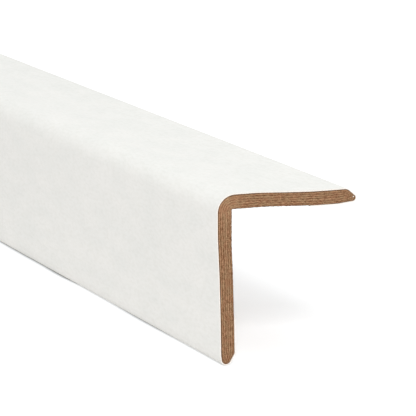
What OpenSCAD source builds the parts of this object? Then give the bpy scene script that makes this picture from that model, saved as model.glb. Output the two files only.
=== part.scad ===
// Angle profile of laminated board that covers one edge of a palletised load.
// The sharp inner corner of the section runs along Y through the origin, at the middle of the length.
// The top leg lies on the load along +X, and the side leg hangs down the load's face along -Z.

/* [Profile] */
// Height of the side leg, measured over the outside of the fold
side_leg = 50; // [35:0.5:80]
// Width of the top leg, measured over the outside of the fold
top_leg = 42; // [35:0.5:80]
// Thickness of the board with the liner on its outer face
board_t = 4.35; // [3.6:0.05:6]
// Length of the profile
profile_len = 600; // [200:5:2000]

/* [Fold] */
// Outside radius of the fold
fold_r = 5.75; // [4:0.25:8]
// Radius left in the crease on the inside of the fold
crease_r = 0.5; // [0.2:0.1:1.5]

/* [Side leg edge] */
// Distance from the edge at which the outer face starts to taper
side_outer_taper = 2.8; // [2:0.1:6]
// Distance from the edge at which the inner face starts to taper
side_inner_taper = 3.9; // [2:0.1:9]
// Share of the board's thickness, from the inner face, at which the edge comes to its tip
side_tip_place = 0.6; // [0.3:0.01:0.65]

/* [Top leg edge] */
// Distance from the edge at which the outer face starts to taper
top_outer_taper = 2.6; // [2:0.1:6]
// Distance from the edge at which the inner face starts to taper
top_inner_taper = 5.5; // [2:0.1:9]
// Share of the board's thickness, from the inner face, at which the edge comes to its tip
top_tip_place = 0.31; // [0.3:0.01:0.65]

/* [Liner] */
// Thickness of the white liner paper
liner_t = 0.3; // [0.15:0.05:0.5]
// Radius that the liner takes round the tip of each leg
tip_r = 1.25; // [0.8:0.05:1.4]
// Width of the flap of liner that lies on the inner face of each leg
flap_w = 14; // [10:0.5:20]

/* [Hidden] */
$fn = 96;
// Reach of each leg beyond the sharp inner corner
top_reach = top_leg - board_t;
side_reach = side_leg - board_t;
// Room by which a shape runs past the face that it cuts or joins
overshoot = 1;
// Depth to which each taper runs into the round of its tip
tip_overlap = 0.03;
aim_r = tip_r - tip_overlap;

// Slope of a taper that runs from its face to the side of the tip's round
function taper_slope(run, drop) = atan2(drop, run) - asin(aim_r / norm([run, drop]));

// One leg along +X, drawn smaller by inset all round than the liner that wraps it
module leg_shape(reach, outer_taper, inner_taper, tip_place, inset) {
    tip = [reach - tip_r, tip_place * board_t];
    outer_slope = taper_slope(outer_taper - tip_r, board_t - tip.y);
    inner_slope = taper_slope(inner_taper - tip_r, tip.y + liner_t);
    outer_face = board_t - inset;
    inner_face = inset - liner_t;
    outer_end = tip + (aim_r - inset) * [sin(outer_slope), cos(outer_slope)];
    inner_end = tip + (aim_r - inset) * [sin(inner_slope), -cos(inner_slope)];
    polygon([
        [inset - board_t, inner_face],
        [inner_end.x - (inner_end.y - inner_face) / tan(inner_slope), inner_face],
        inner_end,
        outer_end,
        [outer_end.x - (outer_face - outer_end.y) / tan(outer_slope), outer_face],
        [inset - board_t, outer_face]
    ]);
    translate(tip)
        circle(tip_r - inset);
}

// What the fold's round takes off the outside of the corner
module fold_waste(inset) {
    translate([fold_r - board_t, board_t - fold_r])
        difference() {
            translate([-fold_r - overshoot, 0])
                square(fold_r + overshoot);
            circle(fold_r - inset);
        }
}

// The folded section, drawn smaller by inset all round than the liner that wraps it
module folded_shape(inset) {
    difference() {
        union() {
            leg_shape(top_reach, top_outer_taper, top_inner_taper, top_tip_place, inset);
            mirror([1, 1])
                leg_shape(side_reach, side_outer_taper, side_inner_taper, side_tip_place, inset);
        }
        fold_waste(inset);
    }
}

// The small web of board that fills the crease
module crease_shape() {
    translate([crease_r, -crease_r])
        difference() {
            translate([-crease_r - overshoot, 0])
                square(crease_r + overshoot);
            circle(crease_r);
        }
}

// The plies of brown board, whose inner faces meet at the sharp inner corner
module core_shape() {
    folded_shape(liner_t);
    crease_shape();
}

// The inner faces between the two flaps, where the board stays bare
module bare_inside() {
    translate([-overshoot, flap_w - side_reach])
        square([top_reach - flap_w + overshoot, side_reach - flap_w + overshoot]);
}

// The liner follows the outside, wraps both tips and ends in a flap on each inner face
module liner_shape() {
    difference() {
        folded_shape(0);
        core_shape();
        bare_inside();
    }
}

module along_length() {
    rotate([90, 0, 0])
        linear_extrude(height = profile_len, center = true)
            children();
}

module board_core() {
    color("#97735A")
        along_length()
            core_shape();
}

module cover_liner() {
    color("#F2F2EE")
        along_length()
            liner_shape();
}

board_core();
cover_liner();
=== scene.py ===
# %% [markdown]
# # A pallet edge protector
# This part is an angle of solid paper board that lies over the edge of a palletised load, so that straps and
# film don't cut into the boxes. It is made on a line: plies of brown kraft paper are glued together, a white
# liner is wrapped round them, the damp stack is folded by rolls, and a saw cuts the profile to length.
# The lesson follows the same order: first the sizes, then the board, then the liner, then finishes and light.

# %% Load the frame
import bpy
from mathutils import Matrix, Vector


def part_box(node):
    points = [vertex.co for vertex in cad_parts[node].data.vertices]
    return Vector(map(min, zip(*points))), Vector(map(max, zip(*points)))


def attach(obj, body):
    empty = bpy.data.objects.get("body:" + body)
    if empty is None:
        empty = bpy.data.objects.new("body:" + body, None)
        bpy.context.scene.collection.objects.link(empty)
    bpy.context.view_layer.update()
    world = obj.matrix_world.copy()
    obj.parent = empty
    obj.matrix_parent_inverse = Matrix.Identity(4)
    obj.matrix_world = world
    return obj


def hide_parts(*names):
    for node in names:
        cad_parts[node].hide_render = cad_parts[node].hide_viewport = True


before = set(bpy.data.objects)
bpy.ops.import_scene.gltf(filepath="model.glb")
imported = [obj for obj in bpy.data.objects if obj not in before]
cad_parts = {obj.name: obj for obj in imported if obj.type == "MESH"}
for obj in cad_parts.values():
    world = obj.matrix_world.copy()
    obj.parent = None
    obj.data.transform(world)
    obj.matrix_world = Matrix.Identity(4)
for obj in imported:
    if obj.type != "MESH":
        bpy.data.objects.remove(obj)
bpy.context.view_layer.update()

# %% [markdown]
# ## Sizes
# The solids from the CAD model give every main size: the board's inner faces lie on x = 0 and z = 0, so the
# highest point of the liner is the board's thickness and its far points are the reach of each leg.
# Only the shape of the fold and of the two tapered edges is written down again here. For each leg, outer and inner
# say how far from the edge each face starts to taper, tip_place and tip_r where the edge's small round sits and how
# big it is, the blends how softly the board turns into its tapers, and outer_bend the radius at which the liner
# follows. The side leg's round is 0.4 mm larger than the CAD model's, because the photograph shows a blunter edge.

# %% Read the main sizes from the frame
from math import asin, atan2, ceil, cos, hypot, pi, radians, sin, sqrt, tan

import bmesh
import bpy
from mathutils import Matrix, Vector, noise

MM = 0.001
liner_low, liner_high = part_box("cover_liner")
board_t = liner_high.z
core_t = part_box("board_core")[1].z
liner_t = board_t - core_t
length = liner_high.y - liner_low.y
fold_r = 5.75 * MM
crease_r = 0.5 * MM
flap_w = 14 * MM
LEGS = {
    "top": {"reach": liner_high.x, "outer": 2.6 * MM, "inner": 5.5 * MM, "tip_place": 0.31, "tip_r": 1.25 * MM,
            "outer_blend": 0.8 * MM, "inner_blend": 0.5 * MM, "outer_bend": 2.2 * MM, "bow_in": 1.0},
    "side": {"reach": -liner_low.z, "outer": 2.9 * MM, "inner": 3.3 * MM, "tip_place": 0.575, "tip_r": 1.65 * MM,
             "outer_blend": 0.3 * MM, "inner_blend": 0.15 * MM, "outer_bend": 0.5 * MM, "bow_in": 0.3},
}
print(f"board {board_t / MM:.2f} mm with a liner of {liner_t / MM:.2f} mm, {length / MM:.0f} mm long")

# %% [markdown]
# Each leg is easiest to think about lying flat: a is the distance from the inner corner towards the edge, and
# b is the height above the inner face. The two tapers of an edge are straight lines that touch the small round
# of its tip, so two angles and the tip's centre describe the whole edge.

# %% Describe a leg's edge
def on_leg(name, a, b, y=0.0):
    """A flat leg's point (a, b), put where that leg lies in the angle."""
    return Vector((a, y, b)) if name == "top" else Vector((-b, y, -a))


def touching_slope(run, drop, tip_r):
    """Slope of the line that starts at a face and just touches the round of the tip."""
    return atan2(drop, run) - asin(tip_r / hypot(run, drop))


for leg in LEGS.values():
    tip_r = leg["tip_r"]
    leg["tip"] = (leg["reach"] - tip_r, leg["tip_place"] * board_t)
    leg["outer_slope"] = touching_slope(leg["outer"] - tip_r, board_t - leg["tip"][1], tip_r)
    leg["inner_slope"] = touching_slope(leg["inner"] - tip_r, leg["tip"][1] + liner_t, tip_r)
for name, leg in LEGS.items():
    slopes = [round(leg[key] * 180 / pi, 1) for key in ("outer_slope", "inner_slope")]
    print(f"{name} leg: reach {leg['reach'] / MM:.1f} mm, tapers of {slopes} degrees")

# %% [markdown]
# Paper board is never as straight as its drawing. After the rolls each leg keeps a faint S-curve, a fifth of a
# millimetre out near the fold and in again towards the edge, most of all on the top leg (bow_in). The lower edge
# waves a little, so it presses on the floor in some places and clears it in others: each press has a centre and a
# half length in millimetres, and a strength, which later also sets how dark the painted contact shade on the floor is.
# One function bends any point by all of that, and every piece goes through it, so that board and liner stay together.

# %% Let the profile settle
bow_depth = 0.22 * MM
bow_first_crest = 0.13
bow_wave = 1.07
bow_rise = 10 * MM
fold_push = 0.1 * MM
fold_reach = 14 * MM
edge_lift = 0.15 * MM
edge_presses = ((-205, 50, 0.38), (-92, 30, 0.58), (-40, 90, 0.5), (140, 70, 0.6), (250, 50, 0.5))


def smooth_step(value):
    """0 below 0, 1 above 1 and a soft S between them."""
    held = min(max(value, 0.0), 1.0)
    return held * held * (3 - 2 * held)


def bow(name, a):
    """How far a leg stands out from its drawn place at distance a from the corner."""
    leg = LEGS[name]
    wave = cos(2 * pi * (a / leg["reach"] - bow_first_crest) / bow_wave)
    return bow_depth * max(wave, leg["bow_in"] * wave) * smooth_step(a / bow_rise)


def press(y):
    """How firmly the lower edge presses on the floor at y, from 0 to about 1."""
    return sum(part * smooth_step(1 - abs(y / MM - centre) / half) for centre, half, part in edge_presses)


def settle(co):
    """A drawn point's place in the slightly bent profile."""
    a_top, a_side = max(co.x, 0.0), max(-co.z, 0.0)
    lift = edge_lift * (1 - press(co.y)) * smooth_step(a_side / LEGS["side"]["reach"])
    push = fold_push * (1 - smooth_step(max(a_top, a_side) / fold_reach))
    return Vector((co.x - bow("side", a_side) - push, co.y, co.z + bow("top", a_top) + push + lift))


print(f"bow at mid leg: {bow('top', LEGS['top']['reach'] / 2) / MM:.3f} mm")

# %% [markdown]
# ## The laminated board
# The core is a stack of six glued plies. In the fold the outer plies keep a wide round and the inner ones are
# pressed into an almost sharp crease; at each edge they are squeezed into the taper. Beside the crease the board
# also swells a little inwards. A prism with a flat end could not show that, but a grid can: its columns run along
# the board and its rows follow the plies, so the saw cut starts as a flat grid, is folded by a formula, and is then
# extruded to the full length.

# %% Heights of the board's two faces
crease_swell = 0.18 * MM
swell_from = 3 * MM
swell_run = 13 * MM


def soft_min(p, q, blend):
    """The smaller of two heights, with the corner between them rounded off."""
    near = max(blend - abs(p - q), 0.0)
    return min(p, q) - near * near / (4 * blend)


def core_heights(name, a):
    """Inner and outer face of the brown core at distance a along a flat leg."""
    leg = LEGS[name]
    tip_a, tip_b = leg["tip"]
    r = leg["tip_r"] - liner_t
    past = a - tip_a
    round_half = sqrt(max(r * r - past * past, 0.0))
    if past > r * sin(leg["outer_slope"]):
        outer = tip_b + round_half
    else:
        taper = tip_b + (r - past * sin(leg["outer_slope"])) / cos(leg["outer_slope"])
        outer = soft_min(core_t, taper, leg["outer_blend"])
    if past > r * sin(leg["inner_slope"]):
        inner = tip_b - round_half
    else:
        swell = crease_swell * (1 - smooth_step((a - swell_from) / swell_run))
        taper = (r - past * sin(leg["inner_slope"])) / cos(leg["inner_slope"]) - tip_b
        inner = -soft_min(swell, taper, leg["inner_blend"])
    return inner, outer


for name, leg in LEGS.items():
    print(f"core near the {name} tip:", [round(h / MM, 2) for h in core_heights(name, leg["tip"][0])])

# %% [markdown]
# A station is a place along the board where the grid has a column. Stations lie half a millimetre apart on the
# legs and closer together at the tips, where the outline bends most.

# %% Choose the stations along the board
plies = 6
station_gap = 0.5 * MM
fold_steps = 12
tip_zone = 3 * MM
tip_gap = 0.12 * MM
tip_margin = 0.01 * MM


def leg_stations(name):
    """Distances along a leg, from the fold to the tip."""
    last = LEGS[name]["reach"] - liner_t - tip_margin
    fine_from = last - tip_zone
    coarse = [i * station_gap for i in range(ceil(fine_from / station_gap))]
    fine_count = ceil((last - fine_from) / tip_gap)
    fine = [fine_from + (last - fine_from) * i / fine_count for i in range(fine_count + 1)]
    return coarse + fine


stations = [("top", a) for a in reversed(leg_stations("top"))]
stations += [("fold", pi / 2 * i / fold_steps) for i in range(1, fold_steps)]
stations += [("side", a) for a in leg_stations("side")]
print(f"{len(stations)} stations along {plies} plies")

# %% [markdown]
# Rows follow the plies: one in each glue line, one on each shoulder beside it and one in the middle of the ply.
# The share w runs from 0 on the inner face to 1 on the outer one. In the fold every ply has its own radius,
# from the crease's to the outside's, which is what pressing does to a real stack. Each corner of the grid keeps a
# map of where it is in the stack, and each point its distance from the outline; the finish will need both.

# %% Fold a flat grid into the saw cut
ply_rows = (0.0, 0.14, 0.5, 0.86)
row_shares = [(ply + row) / plies for ply in range(plies) for row in ply_rows] + [1.0]
shear_run = 10 * MM


def board_point(where, value, w):
    """Where a share w of the board's depth lies at one station."""
    depth = w * core_t
    r = crease_r + (fold_r - liner_t - crease_r) * w
    start = r - depth + crease_swell * (1 - w)
    if where == "fold":
        return Vector((start - r * sin(value), 0, r * cos(value) - start))
    a = value + start * max(0.0, 1 - value / shear_run)
    inner, outer = core_heights(where, a)
    return on_leg(where, a, inner + (outer - inner) * w)


def along_board(where, value):
    """Distance along the board from the middle of the fold, negative on the top leg."""
    half_fold = pi / 4 * fold_r / 2
    if where == "fold":
        return (value - pi / 4) * fold_r / 2
    return -half_fold - value if where == "top" else half_fold + value


def rim_distance(where, value, w):
    """Distance from the board's outline, in millimetres."""
    if where == "fold":
        return min(w, 1 - w) * core_t / MM
    inner, outer = core_heights(where, value)
    return min(min(w, 1 - w) * (outer - inner), leg_stations(where)[-1] - value) / MM


bm = bmesh.new()
columns, rows = len(stations), len(row_shares)
bmesh.ops.create_grid(bm, x_segments=columns - 1, y_segments=rows - 1, size=1)
ply_map = bm.loops.layers.uv.new("ply_map")
rim_far = bm.verts.layers.float.new("rim_far")


def grid_place(co):
    """The station and the share of the depth that a point of the flat grid stands for."""
    column, row = (round((c + 1) / 2 * (count - 1)) for c, count in ((co.x, columns), (co.y, rows)))
    return stations[column], row_shares[row]


for face in bm.faces:
    for loop in face.loops:
        station, w = grid_place(loop.vert.co)
        loop[ply_map].uv = (along_board(*station) / MM, w * plies)
for vert in bm.verts:
    station, w = grid_place(vert.co)
    vert[rim_far] = rim_distance(*station, w)
    vert.co = board_point(*station, w) + Vector((0, -length / 2, 0))
print(f"saw cut: {len(bm.faces)} faces in {rows - 1} rows")

# %% [markdown]
# Extruding the region and keeping the original faces closes the solid in one step. Planes across the length then
# give it rings, which let it follow the settled shape.

# %% Extrude the board to its length
ring_gap = 20 * MM
same_place = 1e-7


def cut_rings(bm, axis, places):
    """Cuts the whole mesh by planes across one axis, so that it gets edges there."""
    for place in places:
        bmesh.ops.bisect_plane(bm, geom=bm.verts[:] + bm.edges[:] + bm.faces[:],
                               plane_co=axis * place, plane_no=axis, dist=same_place)


ring_places = [-length / 2 + ring_gap * i for i in range(1, round(length / ring_gap))]
bmesh.ops.recalc_face_normals(bm, faces=bm.faces)
grown = bmesh.ops.extrude_face_region(bm, geom=bm.faces[:], use_keep_orig=True)
far_end = [item for item in grown["geom"] if isinstance(item, bmesh.types.BMVert)]
bmesh.ops.translate(bm, verts=far_end, vec=(0, length, 0))
cut_rings(bm, Vector((0, 1, 0)), ring_places)
bmesh.ops.recalc_face_normals(bm, faces=bm.faces)
print(f"board: {len(bm.faces)} faces, volume {bm.calc_volume() * 1e6:.1f} cubic centimetres")

# %% [markdown]
# A saw doesn't leave paper smooth. The glue lines tear out a little deeper than the plies, every ply ends at its
# own height, and the fibres stand up in a fine nap. All of that stays within two tenths of a millimetre, and it
# goes inwards only, so the profile keeps its length. Where no liner protects the inner face, its edge is ragged too.
# Noise gives each of these its own pattern: the spreads only set how far apart the plies and the two ends read it.

# %% Roughen the two saw cuts
glue_groove = 0.09 * MM
ply_stagger = 0.05 * MM
nap = 0.045 * MM
nap_size = 0.6 * MM
glue_half = 0.01
ply_spread, end_spread, stagger_row = 3.7, 11.0, 0.5
nap_spread, ragged_spread = 5.0, 3.0
ragged = 0.18 * MM
ragged_size = 0.8 * MM
cut_slack = 1e-6


def on_saw_cut(face):
    """Whether a face lies in one of the two ends."""
    return all(abs(abs(vert.co.y) - length / 2) < cut_slack for vert in face.verts)


def saw_depth(co, w, end):
    """How far the cut lies inside the full length at one point."""
    ply = min(int(w * plies), plies - 1)
    place = w * plies - ply
    groove = glue_groove if min(place, 1 - place) < glue_half else 0.0
    stagger = ply_stagger * (0.5 + 0.5 * noise.noise((ply * ply_spread, end * end_spread, stagger_row)))
    fibre = nap * (0.5 + 0.5 * noise.noise((co.x / nap_size, co.z / nap_size, end * nap_spread)))
    return groove + stagger + fibre


flap_from = min(leg["reach"] for leg in LEGS.values()) - flap_w
out_of_corner = Vector((-1, 0, 1)).normalized()
end_faces = [face for face in bm.faces if on_saw_cut(face)]
shares = {loop.vert: loop[ply_map].uv.y / plies for face in end_faces for loop in face.loops}
for face in bm.faces:
    face.material_index = 1
for face in end_faces:
    face.material_index = 0
for vert, w in shares.items():
    end = 1 if vert.co.y > 0 else -1
    if w == 0.0 and max(vert.co.x, -vert.co.z) < flap_from:
        torn = ragged * noise.noise((vert.co.x / ragged_size, vert.co.z / ragged_size, end * ragged_spread))
        vert.co += torn * out_of_corner
    vert.co.y -= end * saw_depth(vert.co, w, end)
for vert in bm.verts:
    vert.co = settle(vert.co)
print(f"roughened {len(shares)} points on two saw cuts")

# %% [markdown]
# A finished piece becomes an object at the origin, with its place in its mesh. Smooth shading with sharp edges
# above a chosen angle keeps flats flat and rounds round.

# %% Turn a bmesh into a piece
sharp_angle = radians(35)


def finish_piece(bm, name, node):
    """Makes the object, hangs it on the root body, and hides the CAD part that it stands in for."""
    mesh = bpy.data.meshes.new(name)
    bm.to_mesh(mesh)
    bm.free()
    mesh.shade_smooth()
    mesh.set_sharp_from_angle(angle=sharp_angle)
    piece = bpy.data.objects.new(name, mesh)
    bpy.context.scene.collection.objects.link(piece)
    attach(piece, "root")
    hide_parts(node)
    print(f"{name}: {len(mesh.vertices)} points, {len(mesh.polygons)} faces")
    return piece


board = finish_piece(bm, "laminated_board", "board_core")

# %% [markdown]
# ## The white liner
# The liner is one strip of paper, so it is modelled as one: eleven corners of its path round the section are drawn
# first. A bevel keeps a true round only for modest turns, so each tip is drawn with two corners, which lie where
# tangents of its circle cross.

# %% Draw the liner's path
def tip_corners(leg):
    """The inner and the outer corner of the liner at one tip."""
    centre = Vector(leg["tip"])
    outer = Vector((sin(leg["outer_slope"]), cos(leg["outer_slope"])))
    inner = Vector((sin(leg["inner_slope"]), -cos(leg["inner_slope"])))
    front = (outer + inner).normalized()
    return [centre + (side + front) * leg["tip_r"] / (1 + side.dot(front)) for side in (inner, outer)]


def edge_path(name):
    """Corners of the liner on one leg, from the end of its flap to the start of the outer face."""
    leg = LEGS[name]
    flap = [(leg["reach"] - flap_w, -liner_t), (leg["reach"] - leg["inner"], -liner_t)]
    flat = flap + tip_corners(leg) + [(leg["reach"] - leg["outer"], board_t)]
    return [on_leg(name, a, b, -length / 2) for a, b in flat]


fold_corner = Vector((-board_t, -length / 2, board_t))
path = edge_path("top") + [fold_corner] + edge_path("side")[::-1]
print("liner path, in mm:", [(round(p.x / MM, 1), round(p.z / MM, 1)) for p in path])

# %% [markdown]
# The path is extruded to a sheet, and its long edges are bevelled where the paper bends. A bevel's offset is the
# tangent length, which is the radius times the tangent of half the turn. The two bends of a tip would meet exactly,
# so they stay a hair under the full radius.

# %% Extrude the sheet and round its bends
inner_bend_r = 0.5 * MM
tip_bend_share = 0.98
round_steps = 8
fold_round_steps = 16


def long_edges(bm, corner):
    """The sheet's edges along the length that start at one corner of the path."""
    return [edge for edge in bm.edges
            if all(hypot(vert.co.x - corner.x, vert.co.z - corner.z) < same_place for vert in edge.verts)]


def round_bend(bm, index, radius, steps):
    """Bevels the bend at one corner of the path to a radius."""
    before, corner, after = path[index - 1:index + 2]
    turn = (corner - before).angle(after - corner)
    bmesh.ops.bevel(bm, geom=long_edges(bm, corner), offset=radius * tan(turn / 2), offset_type="OFFSET",
                    affect="EDGES", segments=steps, profile=0.5, material=-1)


bm = bmesh.new()
chain = [bm.verts.new(point) for point in path]
line = [bm.edges.new(pair) for pair in zip(chain, chain[1:])]
grown = bmesh.ops.extrude_edge_only(bm, edges=line)
far_end = [item for item in grown["geom"] if isinstance(item, bmesh.types.BMVert)]
bmesh.ops.translate(bm, verts=far_end, vec=(0, length, 0))
for name, bends in (("top", (1, 2, 3, 4)), ("side", (9, 8, 7, 6))):
    tip_bend_r = tip_bend_share * LEGS[name]["tip_r"]
    for index, radius in zip(bends, (inner_bend_r, tip_bend_r, tip_bend_r, LEGS[name]["outer_bend"])):
        round_bend(bm, index, radius, round_steps)
round_bend(bm, 5, fold_r, fold_round_steps)
print(f"sheet: {len(bm.faces)} strips")

# %% [markdown]
# The flat faces get edges every two millimetres, clear of the fold and of the tips, so that they can follow the bow.
# Solidify then gives the sheet the paper's thickness, inwards.

# %% Give the sheet rings and a thickness
flat_gap = 2 * MM
flat_steps = {name: range(2, round(leg["reach"] / flat_gap) - 1) for name, leg in LEGS.items()}
cut_rings(bm, Vector((0, 1, 0)), ring_places)
cut_rings(bm, Vector((1, 0, 0)), [flat_gap * i for i in flat_steps["top"]])
cut_rings(bm, Vector((0, 0, 1)), [-flat_gap * i for i in flat_steps["side"]])
bmesh.ops.recalc_face_normals(bm, faces=bm.faces)
outside = max(bm.faces, key=lambda f: f.calc_center_median().z)
if outside.normal.z < 0:
    bmesh.ops.reverse_faces(bm, faces=bm.faces)
bmesh.ops.solidify(bm, geom=bm.faces[:], thickness=liner_t)
for face in bm.faces:
    face.material_index = 1 if on_saw_cut(face) else 0
print(f"sheet with a thickness: {len(bm.faces)} faces")

# %% [markdown]
# The saw drags a few tufts of pale paper fibre across the cut, and some of them stick: one at the tip of the top leg
# and two on the inner edge of the side leg. Each is a small ball that is sunk into the board, given here by its x and
# z in the section and its radius, in millimetres.

# %% Leave torn tufts on the saw cut
tufts = ((36.7, 1.65, 0.22), (0.1, -23.2, 0.22), (0.0, -4.8, 0.16))
tuft_sink = 0.15 * MM
for x, z, radius in tufts:
    spot = Matrix.Translation((x * MM, -length / 2 + tuft_sink, z * MM))
    tuft = bmesh.ops.create_icosphere(bm, subdivisions=2, radius=radius * MM, matrix=spot)
    for face in {face for vert in tuft["verts"] for face in vert.link_faces}:
        face.material_index = 1
for vert in bm.verts:
    vert.co = settle(vert.co)
print(f"liner: {len(bm.faces)} faces, volume {bm.calc_volume() * 1e6:.2f} cubic centimetres")
liner = finish_piece(bm, "liner_paper", "cover_liner")

# %% [markdown]
# ## Finishes
# One function turns a colour as a screen shows it into the linear numbers that the shader works with, and one adds
# a node with its settings and links. A pattern's scale is one over its real size, because Object coordinates are
# in metres.

# %% Helpers for node materials
def linear(hex_colour):
    """A screen colour such as #97735A as linear red, green, blue and alpha."""
    parts = [int(hex_colour[i:i + 2], 16) / 255 for i in (1, 3, 5)]
    return tuple(p / 12.92 if p <= 0.04045 else ((p + 0.055) / 1.055) ** 2.4 for p in parts) + (1.0,)


def add(tree, kind, inputs=None, **settings):
    """Adds a node, sets its options, and links or fills its inputs."""
    made = tree.nodes.new(kind)
    for key, value in settings.items():
        setattr(made, key, value)
    for key, value in (inputs or {}).items():
        if isinstance(value, bpy.types.NodeSocket):
            tree.links.new(value, made.inputs[key])
        else:
            made.inputs[key].default_value = value
    return made


def new_material(name):
    """An empty node material and its output node."""
    material = bpy.data.materials.new(name)
    material.use_nodes = True
    material.node_tree.nodes.clear()
    return material, material.node_tree, material.node_tree.nodes.new("ShaderNodeOutputMaterial")


print("kraft brown in linear numbers:", [round(c, 3) for c in linear("#97735A")])

# %% [markdown]
# ### White liner paper, machine finished
# The liner is bleached paper over recycled fibre. It is matt, with a faint cloudiness where fibres bunched up and
# small greyer flecks where the brown board shows through. The eye reads that as paper and not as plastic.

# %% White liner paper
MIX_A, MIX_B, MIX_RESULT = 6, 7, 2


def two_tone(tree, pattern, low, low_colour, high, high_colour):
    """An even change between two colours as a pattern goes from low to high."""
    share = add(tree, "ShaderNodeMapRange", {"Value": pattern, "From Min": low, "From Max": high})
    colours = {0: share.outputs["Result"], MIX_A: linear(low_colour), MIX_B: linear(high_colour)}
    return add(tree, "ShaderNodeMix", colours, data_type="RGBA").outputs[MIX_RESULT]


material, tree, out = new_material("white_liner_paper_machine_finished")
place = add(tree, "ShaderNodeTexCoord").outputs["Object"]
patterns = {}
for name, across, along, detail in (("cloud", 6 * MM, 24 * MM, 2.0), ("fleck", 0.9 * MM, 3.6 * MM, 2.0)):
    run = add(tree, "ShaderNodeMapping", {"Vector": place, "Scale": (1 / across, 1 / along, 1 / across)})
    made = add(tree, "ShaderNodeTexNoise", {"Vector": run.outputs["Vector"], "Scale": 1.0, "Detail": detail})
    patterns[name] = made.outputs["Fac"]
clouded = two_tone(tree, patterns["cloud"], 0.3, "#F0F1ED", 0.7, "#F5F5F1")
flecked = two_tone(tree, patterns["fleck"], 0.25, "#F9F9F8", 0.6, "#FFFFFF")
paper = add(tree, "ShaderNodeMix", {0: 1.0, MIX_A: clouded, MIX_B: flecked}, data_type="RGBA", blend_type="MULTIPLY")
bump = add(tree, "ShaderNodeBump", {"Height": patterns["fleck"], "Strength": 0.1, "Distance": 0.03 * MM})
shader = add(tree, "ShaderNodeBsdfPrincipled", {
    "Base Color": paper.outputs[MIX_RESULT], "Normal": bump.outputs["Normal"], "Roughness": 0.62, "IOR": 1.5})
tree.links.new(shader.outputs["BSDF"], out.inputs["Surface"])
liner.data.materials.append(material)
print(material.name)

# %% [markdown]
# ### White liner paper, saw cut
# Where the saw went through the liner, its torn fibres are a little creamier than its smooth face, so the cut shows
# as a thin warm line between the brown and the white.

# %% White liner paper, saw cut
material, tree, out = new_material("white_liner_paper_saw_cut")
place = add(tree, "ShaderNodeTexCoord").outputs["Object"]
fibre_size = 0.5 * MM
torn = add(tree, "ShaderNodeTexNoise", {"Vector": place, "Scale": 1 / fibre_size, "Detail": 2.0})
colour = two_tone(tree, torn.outputs["Fac"], 0.3, "#E0D8CF", 0.7, "#F1EBE4")
shader = add(tree, "ShaderNodeBsdfPrincipled", {"Base Color": colour, "Roughness": 0.9, "IOR": 1.5})
tree.links.new(shader.outputs["BSDF"], out.inputs["Surface"])
liner.data.materials.append(material)
print(material.name)

# %% [markdown]
# ### Laminated kraft board, saw cut
# The cut shows the plies as light and dark bands, with short streaks where fibres were torn, dark pits between
# them and a darker line where glue soaked in, along the outline. In the fold the photograph shows it paler and
# calmer. The grid's own map drives it all: across it counts plies, along it counts millimetres, so the
# bands follow the fold. The patterns' sizes are in millimetres along and in plies across, and one ply is 0.68 mm.

# %% Laminated kraft board, saw cut
material, tree, out = new_material("laminated_kraft_board_saw_cut")
ply_place = add(tree, "ShaderNodeUVMap", uv_map="ply_map").outputs["UV"]
split = add(tree, "ShaderNodeSeparateXYZ", {"Vector": ply_place}).outputs
patterns = {}
for name, along, across, detail in (("wander", 9.0, 2.0, 1.0), ("streak", 1.15, 0.37, 2.0),
                                    ("pit", 0.33, 0.45, 2.0), ("patch", 2.5, 1.8, 2.0)):
    run = add(tree, "ShaderNodeMapping", {"Vector": ply_place, "Scale": (1 / along, 1 / across, 1)})
    made = add(tree, "ShaderNodeTexNoise", {"Vector": run.outputs["Vector"], "Scale": 1.0, "Detail": detail},
               noise_dimensions="2D")
    patterns[name] = made.outputs["Fac"]
depth = add(tree, "ShaderNodeMath", {0: patterns["wander"], 1: 0.6, 2: split["Y"]}, operation="MULTIPLY_ADD")
ply = add(tree, "ShaderNodeMath", {0: depth.outputs["Value"], 1: 0.5}, operation="PINGPONG").outputs["Value"]
face_far = add(tree, "ShaderNodeAttribute", attribute_name="rim_far").outputs["Fac"]
fold_far = add(tree, "ShaderNodeMath", {0: split["X"]}, operation="ABSOLUTE").outputs["Value"]
rim = add(tree, "ShaderNodeMapRange", {"Value": face_far, "From Max": 0.3, "To Min": -0.6, "To Max": 0.0})
past_fold = {"Value": fold_far, "From Min": 2.0, "From Max": 6.0}
pale = add(tree, "ShaderNodeMapRange", {**past_fold, "To Min": 0.1, "To Max": 0.0})
calm = add(tree, "ShaderNodeMapRange", {**past_fold, "To Min": 0.7, "To Max": 0.9})
mean_tone = 0.315
contrast = -1.28
for pattern, weight in ((patterns["streak"], 1.05), (patterns["pit"], 0.85), (patterns["patch"], 0.2), (ply, 0.9)):
    summed = add(tree, "ShaderNodeMath", {0: pattern, 1: weight, 2: contrast}, operation="MULTIPLY_ADD")
    contrast = summed.outputs["Value"]
tone = mean_tone
for part, weight in ((contrast, calm.outputs["Result"]), (rim.outputs["Result"], 1.0), (pale.outputs["Result"], 1.0)):
    tone = add(tree, "ShaderNodeMath", {0: part, 1: weight, 2: tone}, operation="MULTIPLY_ADD").outputs["Value"]
brown = two_tone(tree, tone, 0.0, "#5C3813", 1.0, "#CCA381")
hue = two_tone(tree, patterns["patch"], 0.35, "#FFF6EE", 0.65, "#F6FBF4")
colour = add(tree, "ShaderNodeMix", {0: 1.0, MIX_A: brown, MIX_B: hue}, data_type="RGBA", blend_type="MULTIPLY")
bump = add(tree, "ShaderNodeBump", {"Height": patterns["pit"], "Strength": 0.5, "Distance": 0.1 * MM})
shader = add(tree, "ShaderNodeBsdfPrincipled", {
    "Base Color": colour.outputs[MIX_RESULT], "Normal": bump.outputs["Normal"], "Roughness": 0.85, "IOR": 1.5})
tree.links.new(shader.outputs["BSDF"], out.inputs["Surface"])
board.data.materials.append(material)
print(material.name)

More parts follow.
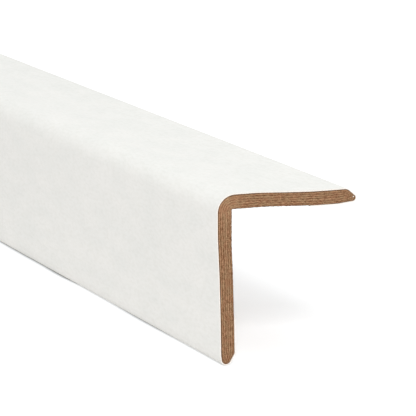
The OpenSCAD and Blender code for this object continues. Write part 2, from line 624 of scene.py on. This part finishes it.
# %% [markdown]
# ### Kraft paper, machine face
# Inside the angle, between the two turned-in flaps, the innermost ply is bare. Its fibres lie along the paper
# machine's run, so the pattern is stretched along the length.

# %% Kraft paper, machine face
material, tree, out = new_material("kraft_paper_machine_face")
place = add(tree, "ShaderNodeTexCoord").outputs["Object"]
fibre_width, fibre_length, cloud_size = 0.5 * MM, 5 * MM, 12 * MM
run = add(tree, "ShaderNodeMapping", {"Vector": place, "Scale": (1 / fibre_width, 1 / fibre_length, 1 / fibre_width)})
fibre = add(tree, "ShaderNodeTexNoise", {"Vector": run.outputs["Vector"], "Scale": 1.0, "Detail": 4.0})
cloud = add(tree, "ShaderNodeTexNoise", {"Vector": place, "Scale": 1 / cloud_size, "Detail": 3.0})
fibred = two_tone(tree, fibre.outputs["Fac"], 0.3, "#8E6A4C", 0.7, "#A98460")
clouded = two_tone(tree, cloud.outputs["Fac"], 0.3, "#E6DED6", 0.7, "#FFFFFF")
colour = add(tree, "ShaderNodeMix", {0: 1.0, MIX_A: fibred, MIX_B: clouded}, data_type="RGBA", blend_type="MULTIPLY")
bump = add(tree, "ShaderNodeBump", {"Height": fibre.outputs["Fac"], "Strength": 0.3, "Distance": 0.05 * MM})
shader = add(tree, "ShaderNodeBsdfPrincipled", {
    "Base Color": colour.outputs[MIX_RESULT], "Normal": bump.outputs["Normal"], "Roughness": 0.75, "IOR": 1.5})
tree.links.new(shader.outputs["BSDF"], out.inputs["Surface"])
board.data.materials.append(material)
print(material.name)

# %% [markdown]
# ## Floor, light and camera
# The floor is plain white paper and keeps the shadow. It is a strip grid, because each place along the length needs
# to know how strong the painted contact shade under the lower edge is there, which follows how firmly the edge
# presses.

# %% White floor
floor_size = 12.0
floor_strips = 1200
contact_least = 0.1
contact_gain = 0.68
bm = bmesh.new()
bmesh.ops.create_grid(bm, x_segments=1, y_segments=floor_strips, size=floor_size / 2)
bmesh.ops.translate(bm, verts=bm.verts, vec=(0, 0, liner_low.z))
# Each strip stores how strong the painted contact shade is there, stronger where the lower edge presses.
painted_shade_power = bm.verts.layers.float.new("painted_shade_power")
for vert in bm.verts:
    vert[painted_shade_power] = contact_least + contact_gain * press(vert.co.y)
mesh = bpy.data.meshes.new("floor")
bm.to_mesh(mesh)
bm.free()
floor = bpy.data.objects.new("floor", mesh)
bpy.context.scene.collection.objects.link(floor)
print("floor at", round(liner_low.z / MM, 1), "mm")

# %% [markdown]
# ### White studio paper
# To the camera the floor is a little brighter than its light makes it, as in a studio picture whose white paper is
# slightly overexposed, so that only the deeper part of the shadow shows. Light that bounces off it finds a plainer
# white with a weak glow of its own, which stands for the pale walls of a studio. Ambient occlusion over a very short
# reach paints a contact shadow: it darkens the floor's colour and glow next to the lower edge, and the strips say how
# strong that painted shade is along the length.

# %% White studio paper
floor_gain = 0.82
floor_fill = 0.195
floor_glow = 0.427
contact_reach = 1.6 * MM


def seen_directly(tree):
    """1 for what the camera sees, also in a reflection or through glass, and 0 for light that only bounces."""
    rays = add(tree, "ShaderNodeLightPath").outputs
    seen = add(tree, "ShaderNodeMath", {0: rays["Is Camera Ray"], 1: rays["Is Glossy Ray"]}, operation="MAXIMUM")
    seen = add(tree, "ShaderNodeMath", {0: seen.outputs["Value"], 1: rays["Is Transmission Ray"]}, operation="MAXIMUM")
    return seen.outputs["Value"]


material, tree, out = new_material("white_studio_paper")
seen = seen_directly(tree)
# Painted contact shadow: ambient occlusion over a short reach darkens the floor's seen colour and glow near the lower
# edge.
near = add(tree, "ShaderNodeAmbientOcclusion", {"Distance": contact_reach}).outputs["AO"]
shade_power_here = add(tree, "ShaderNodeAttribute", attribute_name="painted_shade_power").outputs["Fac"]
painted_contact_shade = add(tree, "ShaderNodeMath", {0: near, 1: shade_power_here}, operation="POWER").outputs["Value"]
seen_gain = add(tree, "ShaderNodeMath", {0: painted_contact_shade, 1: floor_gain}, operation="MULTIPLY").outputs["Value"]
seen_white = add(tree, "ShaderNodeVectorMath", {0: linear("#FAFDFF")[:3], "Scale": seen_gain}, operation="SCALE")
seen_glow = add(tree, "ShaderNodeMath", {0: painted_contact_shade, 1: floor_glow}, operation="MULTIPLY")
white = add(tree, "ShaderNodeMix", {0: seen, MIX_A: linear("#CDC9C8"), MIX_B: seen_white.outputs["Vector"]},
            data_type="RGBA")
glow = add(tree, "ShaderNodeMapRange", {"Value": seen, "To Min": floor_fill, "To Max": seen_glow.outputs["Value"]})
diffuse = add(tree, "ShaderNodeBsdfDiffuse", {"Color": white.outputs[MIX_RESULT]})
shine = add(tree, "ShaderNodeEmission", {"Color": linear("#FFFFFF"), "Strength": glow.outputs["Result"]})
both = add(tree, "ShaderNodeAddShader", {0: diffuse.outputs["BSDF"], 1: shine.outputs["Emission"]})
tree.links.new(both.outputs["Shader"], out.inputs["Surface"])
floor.data.materials.append(material)
print(material.name)

# %% [markdown]
# A white sky lights the part evenly from all sides. One softbox, low in front and a little to the left, makes the cut
# end the best lit face and throws the shadow inside the angle to the back.

# %% White sky
sky_strength = 0.8
world = bpy.data.worlds.new("white_studio")
world.use_nodes = True
bpy.context.scene.world = world
tree = world.node_tree
tree.nodes.clear()
strength = add(tree, "ShaderNodeMapRange", {"Value": seen_directly(tree), "To Min": sky_strength, "To Max": 1.0})
sky = add(tree, "ShaderNodeBackground", {"Color": linear("#FFFFFF"), "Strength": strength.outputs["Result"]})
add(tree, "ShaderNodeOutputWorld", {"Surface": sky.outputs["Background"]})
print("sky strength", sky_strength)

# %% Softbox
key_power = 70.0
key_size = 0.75
key_way = Vector((-0.165, -0.88, 0.42)).normalized()
key_far = 4.0
lamp = bpy.data.lights.new("key_softbox", "AREA")
lamp.energy = key_power
lamp.size = key_size
key = bpy.data.objects.new("key_softbox", lamp)
key.location = key_way * key_far
key.rotation_euler = key_way.to_track_quat("Z", "Y").to_euler()
bpy.context.scene.collection.objects.link(key)
bpy.context.scene.view_settings.view_transform = "Standard"
print("key light at", [round(c, 2) for c in key.location])

# %% [markdown]
# The camera stands low on the left, in front of the cut end, with a long lens, so that the length runs out of the
# picture at the upper left. Its place and angles were worked out from the straight edges of the section.

# %% Camera
focal_pixels = 5000
picture_pixels = 416
camera_turn = radians(14.6883)
camera_down = radians(7.0743)
camera_roll = radians(-1.2335)
camera = bpy.data.cameras.new("photo_camera")
camera.sensor_width = 36
camera.lens = camera.sensor_width * focal_pixels / picture_pixels
eye = bpy.data.objects.new("photo_camera", camera)
turned = Matrix.Rotation(-camera_turn, 3, "Z") @ Matrix.Rotation(pi / 2 - camera_down, 3, "X")
eye.rotation_euler = (turned @ Matrix.Rotation(camera_roll, 3, "Z")).to_euler()
camera_place = Vector((-369.82, -1683.98, 178.21)) * MM
eye.location = camera_place
bpy.context.scene.collection.objects.link(eye)
bpy.context.scene.camera = eye
print(f"lens {camera.lens:.1f} mm")
